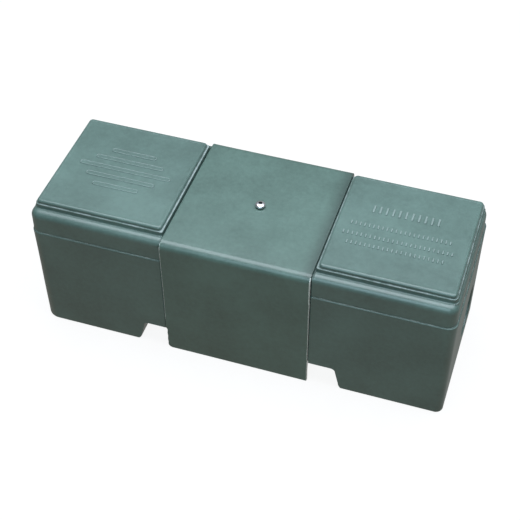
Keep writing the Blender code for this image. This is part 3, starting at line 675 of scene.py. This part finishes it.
def recess_cutter(side, face, low, high):
    """Cuts the step in a face that the sleeve's flank lies in, with rounded outer edges."""
    half = [(0.0, RECESS_HALF_Y)]
    for sine, cosine in quarter(4):
        half.append((CUT_EDGE * (1.0 - cosine), face - 0.5 * MM - CUT_EDGE + CUT_EDGE * sine))
    half.append((CUT_EDGE, face + OVER))
    outline = [(RECESS_X[1] + x, y) for x, y in half]
    outline += [(RECESS_X[0] - x, y) for x, y in reversed(half)]
    outline = [(x, side * y) for x, y in outline]
    return prism('Z', [(low, outline), (high, outline)])


# ---------------- cover
def cover_shell():
    """Outer body of the cover up to the ledge, with its rounded shoulder."""
    rings = []
    for sine, cosine in quarter(3, 0, 2):
        rings.append((COVER_EDGE * (1.0 - sine), COVER_BOTTOM + COVER_EDGE * (1.0 - cosine), 0.0))
    rows = 5
    for i in range(rows + 1):
        rings.append((0.0, COVER_BOTTOM + COVER_EDGE
                      + (LEDGE_Z - SHOULDER - COVER_BOTTOM - COVER_EDGE) * i / rows,
                      math.sin(math.pi * min(i, rows - 1) / rows)))
    for sine, cosine in quarter(8, 1):
        rings.append((SHOULDER * (1.0 - cosine), LEDGE_Z - SHOULDER * (1.0 - sine), 0.0))
    middle, half_x = (COVER_X[0] + COVER_X[1]) / 2, (COVER_X[1] - COVER_X[0]) / 2
    made = []
    for inset, z, share in rings:
        points = ring(half_x - inset, COVER_HALF_Y - inset, PLAN_RADIUS - inset, z,
                      (middle, 0.0), back_radius=COVER_BACK_RADIUS - inset, **WALL_STEPS)
        wander(points, middle, (half_x, COVER_HALF_Y), 0.6 * share, 55.0 * MM, 3.0)
        made.append(points)
    return loft(made)


def plateau(side):
    """Raised bed for a panel, with a fillet at its foot and a rounded rim."""
    x_range = mirrored((VALLEY_HALF_X - 2.0 * MM, COLLAR_END_X), side)
    centre = ((x_range[0] + x_range[1]) / 2, 0.0)
    half_x = (x_range[1] - x_range[0]) / 2
    rows = [(COLLAR_FOOT, FLANGE_TOP + 4.0 * MM), (COLLAR_FOOT, LEDGE_Z + 0.02 * MM)]
    for sine, cosine in quarter(5, 1):
        rows.append((COLLAR_FOOT * (1.0 - sine), LEDGE_Z + COLLAR_FOOT * (1.0 - cosine)))
    for sine, cosine in quarter(3):
        rows.append((-COLLAR_EDGE * (1.0 - cosine) - COLLAR_DRAFT,
                     COLLAR_TOP - COLLAR_EDGE * (1.0 - sine)))
    return loft([ring(half_x + grow, COLLAR_HALF_Y + grow, COLLAR_RADIUS + grow, z, centre, 8,
                      10, 8) for grow, z in rows])


def build_cover():
    """Shell, tongue and plateaus, then the valley, the recesses and the hollow inside."""
    cover = new_piece("cover_moulding", cover_shell())
    tongue_x = RIM_HALF[0] - TUB_WALL - TONGUE_PLAY
    tongue_y = ROOM_HALF_Y - TONGUE_PLAY
    low = RIM_Z - TONGUE_DEPTH
    carve(cover, block((-tongue_x, tongue_x), (-tongue_y, tongue_y),
                       (low, FLANGE_TOP - 2.0 * MM), PLAN_RADIUS - TUB_WALL, foot=1.0 * MM),
          'UNION')
    for side in SIDES:
        carve(cover, plateau(side), 'UNION')
    carve(cover, block((-VALLEY_HALF_X, VALLEY_HALF_X),
                       (-COVER_HALF_Y - 5.0 * MM, COVER_HALF_Y + 5.0 * MM),
                       (VALLEY_Z, COLLAR_TOP + 5.0 * MM)))
    for side in SIDES:
        carve(cover, recess_cutter(side, COVER_HALF_Y, low - 5.0 * MM, COLLAR_TOP))
        carve(cover, fold_cutter(side))

    inner_x, inner_y = COVER_X[1] - COVER_WALL, COVER_HALF_Y - COVER_WALL
    carve(cover, block((-tongue_x + TONGUE_WALL, tongue_x - TONGUE_WALL),
                       (-tongue_y + TONGUE_WALL, tongue_y - TONGUE_WALL),
                       (low - 5.0 * MM, FLANGE_TOP + 1.0 * MM), 3.0 * MM))
    room_y = RECESS_HALF_Y - COVER_WALL
    carve(cover, block((-VALLEY_HALF_X - 6.0 * MM, VALLEY_HALF_X + 6.0 * MM), (-room_y, room_y),
                       (FLANGE_TOP, VALLEY_Z - COVER_WALL)))
    for side in SIDES:
        carve(cover, block(mirrored((VALLEY_HALF_X + COVER_WALL, inner_x), side),
                           (-inner_y, inner_y), (FLANGE_TOP - 0.05 * MM, LEDGE_Z - COVER_WALL),
                           COVER_BACK_RADIUS - COVER_WALL))
        carve(cover, block(mirrored((VALLEY_HALF_X + COVER_WALL + 0.2 * MM,
                                     COLLAR_END_X - COVER_WALL), side),
                           (-COLLAR_HALF_Y + COVER_WALL, COLLAR_HALF_Y - COVER_WALL),
                           (FLANGE_TOP + 1.5 * MM, COLLAR_TOP - COLLAR_ROOF),
                           COLLAR_RADIUS - COVER_WALL))
        carve(cover, block(*window(side, 0.0), (FLANGE_TOP + 2.5 * MM, COLLAR_TOP + 5.0 * MM),
                           WINDOW_RADIUS))
    carve(cover, drill(BOLT_HOLE / 2, low, COLLAR_TOP))
    dress(cover, "cover", [COVER], ["top_cover"])


def fold_cutter(side):
    """Rounds the edge between valley floor and recess."""
    inward = RECESS_HALF_Y - VALLEY_FOLD
    outside, above = RECESS_HALF_Y + 1.0 * MM, VALLEY_Z + 1.0 * MM
    outline = [(outside, above), (inward, above)]
    for sine, cosine in quarter(8):
        outline.append((inward + VALLEY_FOLD * sine, VALLEY_Z - VALLEY_FOLD * (1.0 - cosine)))
    outline.append((outside, VALLEY_Z - VALLEY_FOLD))
    outline = [(side * y, z) for y, z in outline]
    return prism('X', [(RECESS_X[0] + 0.02 * MM, outline), (RECESS_X[1] - 0.02 * MM, outline)])


def window(side, clearance):
    """Plan of the opening in a plateau, or of the plug that goes into it with some clearance."""
    x_range = (VALLEY_HALF_X + WINDOW_INSET + clearance, COLLAR_END_X - WINDOW_INSET - clearance)
    half_y = COLLAR_HALF_Y - WINDOW_INSET - clearance
    return mirrored(x_range, side), (-half_y, half_y)


# ---------------- panels
def bar(x, y, size_x, size_y, hollow):
    """One raised rib with soft shoulders; hollow leaves only its outline standing."""
    half = (size_x / 2, size_y / 2)
    rows = [(-0.05, -0.40), (-0.05, 0.01), (-0.22, 0.30), (-0.42, 0.56), (-0.72, 0.70)]
    if hollow:
        rows += [(-1.02, 0.60), (-1.22, 0.34), (-1.50, 0.16)]
    return loft([ring(half[0] + grow * MM, half[1] + grow * MM,
                      min(half) + grow * MM - 0.02 * MM,
                      PANEL_TOP - 0.12 * MM + height * MM, (x, y), 4) for grow, height in rows])


def joined(meshes):
    """One mesh out of many, for a single boolean."""
    total = bmesh.new()
    for bm in meshes:
        mesh = bpy.data.meshes.new("part")
        bm.to_mesh(mesh)
        bm.free()
        total.from_mesh(mesh)
        bpy.data.meshes.remove(mesh)
    return total


def row_of_ribs(y, length, height, pitch, width):
    """Upright ribs, evenly spaced along a row."""
    count = int(length / pitch)
    start = RIGHT_RIBS_X - (count - 1) * pitch / 2
    return [bar(start + i * pitch, y, width, height, False) for i in range(count)]


def build_panel(name, side, ribs):
    """A round-edged plate with a hollow plug below and raised ribs on top."""
    low, high = PANEL_BOX[name]
    centre = ((low.x + high.x) / 2, (low.y + high.y) / 2)
    half = ((high.x - low.x) / 2, (high.y - low.y) / 2)
    rows = [(0.35 * MM, PANEL_Z), (0.0, PANEL_Z + 0.25 * MM), (0.0, PANEL_TOP - PANEL_EDGE)]
    for sine, cosine in quarter(8, 1):
        rows.append((PANEL_EDGE * (1.0 - cosine), PANEL_TOP - PANEL_EDGE * (1.0 - sine)))
    # a faint border line, then a very shallow dish
    rows += [(3.6 * MM, PANEL_TOP), (4.1 * MM, PANEL_TOP - 0.10 * MM),
             (4.6 * MM, PANEL_TOP - 0.12 * MM), (30.0 * MM, PANEL_TOP - 0.14 * MM)]
    panel = new_piece(f"{name}_panel_plate", loft(
        [ring(half[0] - inset, half[1] - inset, max(PANEL_RADIUS - inset, 1.2 * MM), z, centre,
              8, 6, 6) for inset, z in rows]))
    plug_low = COLLAR_TOP - PLUG_DEPTH
    outer, inner = window(side, PLUG_PLAY), window(side, PLUG_PLAY + PLUG_WALL)
    carve(panel, block(*outer, (plug_low, PANEL_Z + 1.0 * MM), WINDOW_RADIUS, foot=0.8 * MM),
          'UNION')
    carve(panel, block(*inner, (plug_low - 5.0 * MM, PANEL_Z), WINDOW_RADIUS / 2))
    carve(panel, joined(ribs), 'UNION')
    dress(panel, "cover", [PANEL], [f"{name}_top_panel"])


def left_ribs():
    """A neutral lozenge of five outlined ribs."""
    middle, length, pitch, width = LEFT_RIBS
    return [bar(middle, row * pitch, length * (1.0 - 0.25 * abs(row)), width, True)
            for row in (2, 1, 0, -1, -2)]


def right_ribs():
    """A plain block of grip ribs: one tall row over three low rows."""
    ribs = row_of_ribs(*TALL_ROW, *TALL_RIB)
    for row in LOW_ROWS:
        ribs += row_of_ribs(*row, *LOW_RIB)
    return ribs


# ---------------- sleeve
def sleeve_path():
    """Stations of the sleeve's outer face from front foot over the top to back foot."""
    low, top = SLEEVE_LOW.z, SLEEVE_HIGH.z
    lean = (SLEEVE_HALF_TOP - SLEEVE_HALF_FOOT) / (top - low)
    path = []
    heights = [0.0, 0.35, 0.9, 1.7, 2.7, 3.8, 5.2, 8.0, 12.0, 17.0, 22.0, 26.0, 28.0, 29.5, 31.0,
               34.0, 40.0]
    heights = [low + h * MM for h in heights]
    count = 17
    end = top - SLEEVE_FOLD
    heights += [heights[-1] + (end - heights[-1]) * i / count for i in range(1, count + 1)]
    for z in heights:
        path.append((-(SLEEVE_HALF_FOOT + lean * (z - low)), z, (-1.0, 0.0)))
    centre_y = path[-1][0] + SLEEVE_FOLD
    for sine, cosine in quarter(10, 1):
        path.append((centre_y - SLEEVE_FOLD * cosine, end + SLEEVE_FOLD * sine, (-cosine, sine)))
    across = 22
    for i in range(1, across // 2 + 1):
        path.append((centre_y * (1.0 - 2.0 * i / across), top, (0.0, 1.0)))
    return path + [(-y, z, (-n[0], n[1])) for y, z, n in reversed(path[:-1])]


def edge_wear(z, front):
    """How whitened the sawn edges are at a height, on the left and on the right."""
    fold_start, fold_end = SLEEVE_HIGH.z - SLEEVE_FOLD, SLEEVE_HIGH.z - 1.5 * MM
    if z > fold_end:
        return 0.25, 0.0
    if not front:
        return 0.55, 0.55
    left = 0.85 if z > 0.3 * fold_start else 0.45
    right = 1.2 if z > NUB_Z else 0.85
    return left, right


def sawn_edges(y, z, walked):
    """X of the ragged left and right edges, at a place and a length along the path."""
    front, height = y < 0.0, z - SLEEVE_LOW.z
    coarse, fine = SAW_WANDER
    rough = [noise.noise(Vector((walked / coarse, 7.0 * side, 0.0)))
             + 0.6 * noise.noise(Vector((walked / fine, 3.0 * side, 4.0)))
             for side in SIDES]
    up = min(1.0, max(0.0, height / BOW_HEIGHT))
    bow = SLEEVE_BOW * (1.0 - math.cos(math.tau * up)) / 2
    x_low = SLEEVE_LOW.x + 0.25 * MM + 0.28 * MM * rough[0] + bow
    x_high = SLEEVE_HIGH.x - 0.05 * MM + 0.16 * MM * rough[1]
    if front:
        x_high += 0.55 * MM * math.exp(-((z - NUB_Z) / (1.1 * MM)) ** 2)
        step = min(1.0, max(0.0, (STEP_Z - height) / (3.0 * MM)))
        x_low += STEP_DEPTH * step * step * (3.0 - 2.0 * step)
        x_low += corner_inset(height, CORNER_FRONT)
    else:
        x_high -= corner_inset(height, CORNER_BACK)
    return x_low, x_high


def corner_inset(height, radius):
    """How far a rounded bottom corner has drawn in at a height."""
    if height >= radius:
        return 0.0
    return radius - math.sqrt(radius ** 2 - (radius - height) ** 2)


def sleeve_section(x_low, x_high, worn_low, worn_high):
    """Once round the skin at one station, as (x, depth below the outer face, whitening)."""
    half_width = SLEEVE_WIDTH / 2
    near = [0.55 * MM, 1.3 * MM, 2.6 * MM]           # columns close together at the edges
    columns = near + [near[-1] + (half_width - near[-1]) * i / 18 for i in range(1, 18)]
    middle = [column / SLEEVE_WIDTH for column in columns]
    shares = middle + [0.5] + [1.0 - s for s in reversed(middle)]
    width = x_high - x_low
    edge, chamfer = 0.55 * MM, 0.4 * MM
    points = [(x_low + 0.18 * edge, 0.18 * edge, worn_low)]
    for s in shares:
        from_edge = min(s, 1.0 - s) * SLEEVE_WIDTH
        worn = max(0.0, 1.0 - from_edge / (1.6 * MM)) * (worn_low if s < 0.5 else worn_high)
        points.append((x_low + width * s, 0.0, worn))
    points += [(x_high - 0.18 * edge, 0.18 * edge, worn_high), (x_high, edge, worn_high),
               (x_high, SLEEVE_SKIN - chamfer, worn_high),
               (x_high - chamfer, SLEEVE_SKIN, 0.5 * worn_high)]
    points += [(x_low + width * s, SLEEVE_SKIN, 0.0) for s in reversed(shares[1:-1])]
    points += [(x_low + chamfer, SLEEVE_SKIN, 0.5 * worn_low),
               (x_low, SLEEVE_SKIN - chamfer, worn_low), (x_low, edge, worn_low)]
    return points


def build_sleeve():
    """The U-shaped cut moulding, lofted section by section along its path."""
    path = sleeve_path()
    bm = bmesh.new()
    edge_layer = bm.verts.layers.float.new("cut_edge")
    # layer for the painted shadow beside the right block
    plateau_shadow_layer = bm.verts.layers.float.new("plateau_shadow")
    rows, walked = [], 0.0
    for k, (y, z, n) in enumerate(path):
        if k:
            walked += math.hypot(y - path[k - 1][0], z - path[k - 1][1])
        x_low, x_high = sawn_edges(y, z, walked)
        row = []
        for x, depth, worn in sleeve_section(x_low, x_high, *edge_wear(z, y < 0.0)):
            share = min(1.0, max(0.0, (x - x_low) / (x_high - x_low)))
            sag = WALL_WAVE * 0.8 * wave((x, y, z), 60.0 * MM, 5.0) \
                * math.sin(math.pi * share) ** 0.5
            inward = depth + sag
            v = bm.verts.new((x, y - n[0] * inward, z - n[1] * inward))
            v[edge_layer] = worn
            # painted shadow on top beside the right block, darkest at the edge next to it
            v[plateau_shadow_layer] = max(0.0, n[1]) * max(0.0, 1.0 - (x_high - x) / PLATEAU_SHADOW_WIDTH)
            row.append(v)
        rows.append(row)
    skin(bm, rows)
    bmesh.ops.recalc_face_normals(bm, faces=bm.faces)
    sleeve = new_piece("sleeve_wrap", bm)
    top = SLEEVE_HIGH.z
    carve(sleeve, drill(BOLT_HOLE / 2, top - 9.0 * MM, top + 4.0 * MM))
    dress(sleeve, "sleeve", [SLEEVE], ["centre_sleeve"], 38.0)


# ---------------- bolt
def build_bolt():
    """Button head screw with a hexagon socket and turned thread ridges."""
    head, dome, shank, tip = BOLT_HEAD, BOLT_DOME, BOLT_SHANK, BOLT_LOW.z
    rim = 0.5 * MM
    profile = []
    for sine, cosine in quarter(14):
        profile.append((head * sine, BOLT_SEAT + rim + (dome - rim) * cosine))
    profile += [(head, BOLT_SEAT + 0.12 * MM), (head - 0.12 * MM, BOLT_SEAT),
                (shank + 0.3 * MM, BOLT_SEAT), (shank, BOLT_SEAT - 0.3 * MM)]
    z = BOLT_SEAT - 4.0 * MM
    root = shank - THREAD_DEPTH
    profile.append((shank, z))
    while z > tip + 2.0 * MM:
        profile += [(root, z - 0.45 * THREAD_PITCH), (root, z - 0.55 * THREAD_PITCH),
                    (shank, z - 0.95 * THREAD_PITCH), (shank, z - THREAD_PITCH)]
        z -= THREAD_PITCH
    profile += [(shank - 0.8 * MM, tip), (0.0, tip)]
    bolt = new_piece("security_bolt_turned", lathe(profile, 64))
    across = SOCKET_FLATS / math.sqrt(3.0)
    top = BOLT_SEAT + dome
    socket = lathe([(0.0, top - 2.2 * MM), (across * 0.98, top - 1.9 * MM),
                    (across, top + 3.0 * MM), (0.0, top + 3.0 * MM)], 6)
    carve(bolt, socket)
    dress(bolt, "bolt", [STEEL, SOCKET_FILL], ["security_bolt"])
    for face in bolt.data.polygons:                  # the socket's faces take the dark finish
        middle = face.center
        if math.hypot(middle.x, middle.y) < 0.88 * across and middle.z > top - 2.4 * MM:
            face.material_index = 1


# ---------------- parting flash
def flash_runs(kept, rows):
    """Splits a closed row of sections into its unbroken kept stretches."""
    start = next(i for i in range(len(rows)) if kept[i] and not kept[i - 1])
    runs, current = [], []
    for i in list(range(start, len(rows))) + list(range(start)):
        if kept[i]:
            current.append(rows[i])
        elif current:
            runs.append(current)
            current = []
    return runs + ([current] if current else [])


def build_flash():
    """The ragged pale bead along the tub's rim, tight against the cover's foot."""
    low_x, high_x = COVER_X[0] + 0.15 * MM, COVER_X[1] + 0.10 * MM
    base = ring((high_x - low_x) / 2, COVER_HALF_Y + 0.10 * MM, PLAN_RADIUS + 0.1 * MM,
                RIM_Z + 0.10 * MM, ((low_x + high_x) / 2, 0.0), steps=12, long_steps=260,
                short_steps=90, back_radius=COVER_BACK_RADIUS + 0.1 * MM)
    gap = 1.5 * MM                                   # kept clear of the sleeve's recess
    kept = [not (RECESS_X[0] - gap < p.x < RECESS_X[1] + gap) for p in base]
    bm = bmesh.new()
    sides = 6
    rows = []
    for i, p in enumerate(base):
        along = (base[(i + 1) % len(base)] - base[i - 1]).normalized()
        out = along.cross(UP)
        fine = noise.noise(p / (2.5 * MM))
        blob = max(0.0, noise.noise(p / (9.0 * MM) + Vector((4.0, 1.0, 0.0))))
        size = max(0.15, 0.24 + 0.10 * fine + 0.34 * blob ** 1.5) * MM
        rows.append([bm.verts.new(p + out * size * math.cos(math.tau * s / sides)
                                  + UP * (0.3 * size + size * math.sin(math.tau * s / sides)))
                     for s in range(sides)])
    for run in flash_runs(kept, rows):
        skin(bm, run)
    loose = [v for v in bm.verts if not v.link_faces]
    bmesh.ops.delete(bm, geom=loose, context='VERTS')
    bmesh.ops.recalc_face_normals(bm, faces=bm.faces)
    dress(new_piece("parting_flash", bm), "base", [FLASH], sharp=60.0)


# ---------------- inside
def finish_cad_nodes():
    """Gives every CAD node that stays in view its own finish, by a word in its name."""
    finishes = (("bait_rod", WIRE), ("bait_block", WAX), ("post_screw", STEEL),
                ("centre_post", INNER), ("threaded_insert", BRASS), ("sealing_washer", RUBBER),
                ("baffle", INNER), ("bait_tray", INNER))
    for name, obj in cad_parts.items():
        for word, finish in finishes:
            if word in name:
                obj.data.materials.clear()
                obj.data.materials.append(finish)
                break


# ---------------- studio
# colours of the ground, the horizon and half way up, in front of the object and behind it
SKY_IN_FRONT = ((0.38, 0.32, 0.27), (0.07, 0.065, 0.06), (0.10, 0.10, 0.10))
SKY_BEHIND = ((0.40, 0.40, 0.38), (0.30, 0.30, 0.29), (0.24, 0.25, 0.26))
ZENITH = (0.4, 0.42, 0.44)
# name, place, aim, size, watts and colour
SOFTBOXES = (("overhead_softbox", (0.13, 0.15, 1.25), (0.13, 0.15, 0.1), (1.7, 1.05), 27.3,
              (0.86, 0.91, 1.0)),
             ("front_softbox", (0.07, -1.00, 0.93), (0.07, 0.0, 0.12), (0.84, 0.60), 6.3,
              (0.60, 0.86, 1.0)))


def build_floor():
    """A pale light table: it glows into the camera but lights and mirrors nothing."""
    mesh = bpy.data.meshes.new("studio_floor")
    size = 12.0
    mesh.from_pydata([(-size, -size, 0.0), (size, -size, 0.0), (size, size, 0.0),
                      (-size, size, 0.0)], [], [(0, 1, 2, 3)])
    floor = bpy.data.objects.new("studio_floor", mesh)
    bpy.context.scene.collection.objects.link(floor)
    floor.location.z = -0.2 * MM
    m = Nodes("pale_light_table")
    m.put("Base Color", m.blend(m.noise(40.0, 2.0, 0.5), (0.09, 0.09, 0.09), (0.11, 0.11, 0.11)))
    m.put("Roughness", 0.9)
    m.put("Specular IOR Level", 0.1)
    m.put("Emission Color", (1.0, 1.0, 1.0, 1.0))
    m.put("Emission Strength", 0.90)
    mesh.materials.append(m.material)
    floor.visible_diffuse = False
    floor.visible_glossy = False


def build_surround():
    """Soft room light by direction: dim in front of the object, paler behind it."""
    world = bpy.data.worlds.new("studio_world")
    world.use_nodes = True
    tree = world.node_tree
    back = tree.nodes["Background"]
    direction = tree.nodes.new('ShaderNodeTexCoord').outputs["Generated"]
    split = tree.nodes.new('ShaderNodeSeparateXYZ')
    tree.links.new(direction, split.inputs["Vector"])

    def share(axis, low, high):
        node = tree.nodes.new('ShaderNodeMapRange')
        node.inputs["From Min"].default_value = low
        node.inputs["From Max"].default_value = high
        tree.links.new(split.outputs[axis], node.inputs["Value"])
        return node.outputs["Result"]

    height = share("Z", -1.0, 1.0)

    def sky(ground, horizon, middle):
        ramp = tree.nodes.new('ShaderNodeValToRGB')
        tree.links.new(height, ramp.inputs["Fac"])
        stops = ramp.color_ramp.elements
        stops[0].position, stops[0].color = 0.0, (*ground, 1.0)
        stops[1].position, stops[1].color = 1.0, (*ZENITH, 1.0)
        for position, colour in ((0.42, ground), (0.50, horizon), (0.75, middle)):
            stops.new(position).color = (*colour, 1.0)
        return ramp.outputs["Color"]

    mix = tree.nodes.new('ShaderNodeMix')
    mix.data_type = 'RGBA'
    tree.links.new(share("Y", -0.15, 0.45), mix.inputs["Factor"])
    tree.links.new(sky(*SKY_IN_FRONT), mix.inputs[6])
    tree.links.new(sky(*SKY_BEHIND), mix.inputs[7])
    tree.links.new(mix.outputs[2], back.inputs["Color"])
    back.inputs["Strength"].default_value = 1.0
    bpy.context.scene.world = world


def build_lamps():
    for name, place, aim, size, power, colour in SOFTBOXES:
        data = bpy.data.lights.new(name, 'AREA')
        data.shape = 'RECTANGLE'
        data.size, data.size_y = size
        data.energy = power
        data.color = colour
        obj = bpy.data.objects.new(name, data)
        bpy.context.scene.collection.objects.link(obj)
        obj.location = place
        obj.rotation_euler = (Vector(aim) - Vector(place)).to_track_quat('-Z', 'Y').to_euler()
    scene = bpy.context.scene
    scene.view_settings.view_transform = 'Standard'
    scene.view_settings.look = 'None'


def build_camera():
    """The camera that the box's straight edges were fitted with."""
    azimuth, elevation, roll = (math.radians(a) for a in (17.527, 45.423, 0.357))
    aim = Vector((7.567 * MM, 1.938 * MM, 78.0 * MM))
    distance = 1.254
    sensor, focal_length = 36.0, 84.549              # both in millimetres
    shift = (-0.015225, -0.002152)
    back = Vector((math.sin(azimuth) * math.cos(elevation),
                   -math.cos(azimuth) * math.cos(elevation), math.sin(elevation)))
    right = (-back).cross(UP).normalized()
    up = right.cross(-back)
    tilted_right = right * math.cos(roll) + up * math.sin(roll)
    tilted_up = up * math.cos(roll) - right * math.sin(roll)
    place = aim + back * distance
    data = bpy.data.cameras.new("camera")
    data.sensor_width, data.lens = sensor, focal_length
    data.shift_x, data.shift_y = shift
    data.clip_start, data.clip_end = 0.05, 60.0
    camera = bpy.data.objects.new("camera", data)
    bpy.context.scene.collection.objects.link(camera)
    turn = Matrix((tilted_right, tilted_up, back)).transposed().to_4x4()
    camera.matrix_world = Matrix.Translation(place) @ turn
    bpy.context.scene.camera = camera


build_camera()
build_floor()
build_surround()
build_lamps()
build_tub()
build_cover()
build_panel("left", -1.0, left_ribs())
build_panel("right", 1.0, right_ribs())
build_sleeve()
build_bolt()
build_flash()
finish_cad_nodes()
